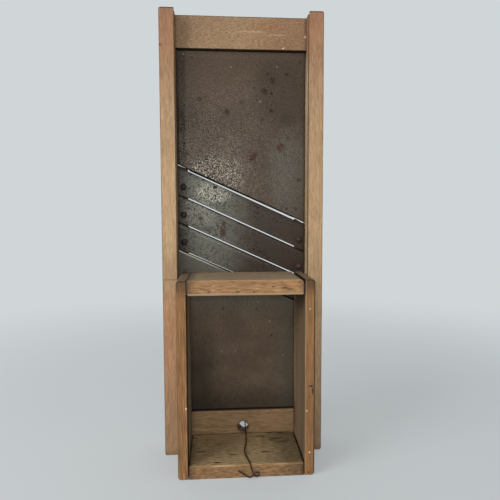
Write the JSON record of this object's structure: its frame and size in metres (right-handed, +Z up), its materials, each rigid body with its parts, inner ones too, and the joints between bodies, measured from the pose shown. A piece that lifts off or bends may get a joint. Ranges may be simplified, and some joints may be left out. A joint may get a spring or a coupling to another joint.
{
  "type": "cabbage cutter",
  "caption": "Long wooden slicing board with grooved side rails, a steel bed with slanted blades, and an open box that slides over them.",
  "frame": {"origin": "middle of the board's lower end on the surface it stands on, half way between the rails' back and the box's rim", "axes": "+Z up along the rails, +X to the right seen from the front, +Y from the box's rim towards the back"},
  "size_m": [0.203, 0.1016, 0.559],
  "materials": {
    "rail_wood": "aged, bare, handled smooth",
    "crossbar_wood": "aged, bare, slightly darker than the rails",
    "box_wood": "aged, bare, stained inside by use",
    "bed_steel": "dark brown patina with rust specks",
    "blade_steel": "dark grey patina, brighter ground edges",
    "iron_fasteners": "dark, rusty",
    "iron_wire": "rust brown"
  },
  "bodies": {
    "frame": {"left_rail": "rail_wood", "right_rail": "rail_wood", "head_crossbar": "crossbar_wood", "foot_crossbar": "crossbar_wood", "left_upper_ledger": "rail_wood", "right_upper_ledger": "rail_wood", "left_lower_ledger": "rail_wood", "right_lower_ledger": "rail_wood", "upper_bed_plate": "bed_steel", "upper_blade": "blade_steel", "middle_blade": "blade_steel", "lower_blade": "blade_steel", "lower_bed_plate": "bed_steel", "left_blade_screws": "iron_fasteners", "right_blade_screws": "iron_fasteners", "upper_plate_nails": "iron_fasteners", "lower_plate_nails": "iron_fasteners", "head_crossbar_nails": "iron_fasteners", "foot_crossbar_nails": "iron_fasteners", "left_ledger_nails": "iron_fasteners", "right_ledger_nails": "iron_fasteners", "hanging_wire": "iron_wire"},
    "sliding_box": {"box_left_side": "box_wood", "box_right_side": "box_wood", "box_upper_end": "box_wood", "box_lower_end": "box_wood", "box_upper_nails": "iron_fasteners", "box_lower_nails": "iron_fasteners"}
  },
  "joints": [
    {"name": "box_slide", "type": "slide", "parent": "frame", "child": "sliding_box", "axis": [0, 0, 1], "range_m": [0, 0.2822], "deforming": ["hanging_wire"]}
  ]
}
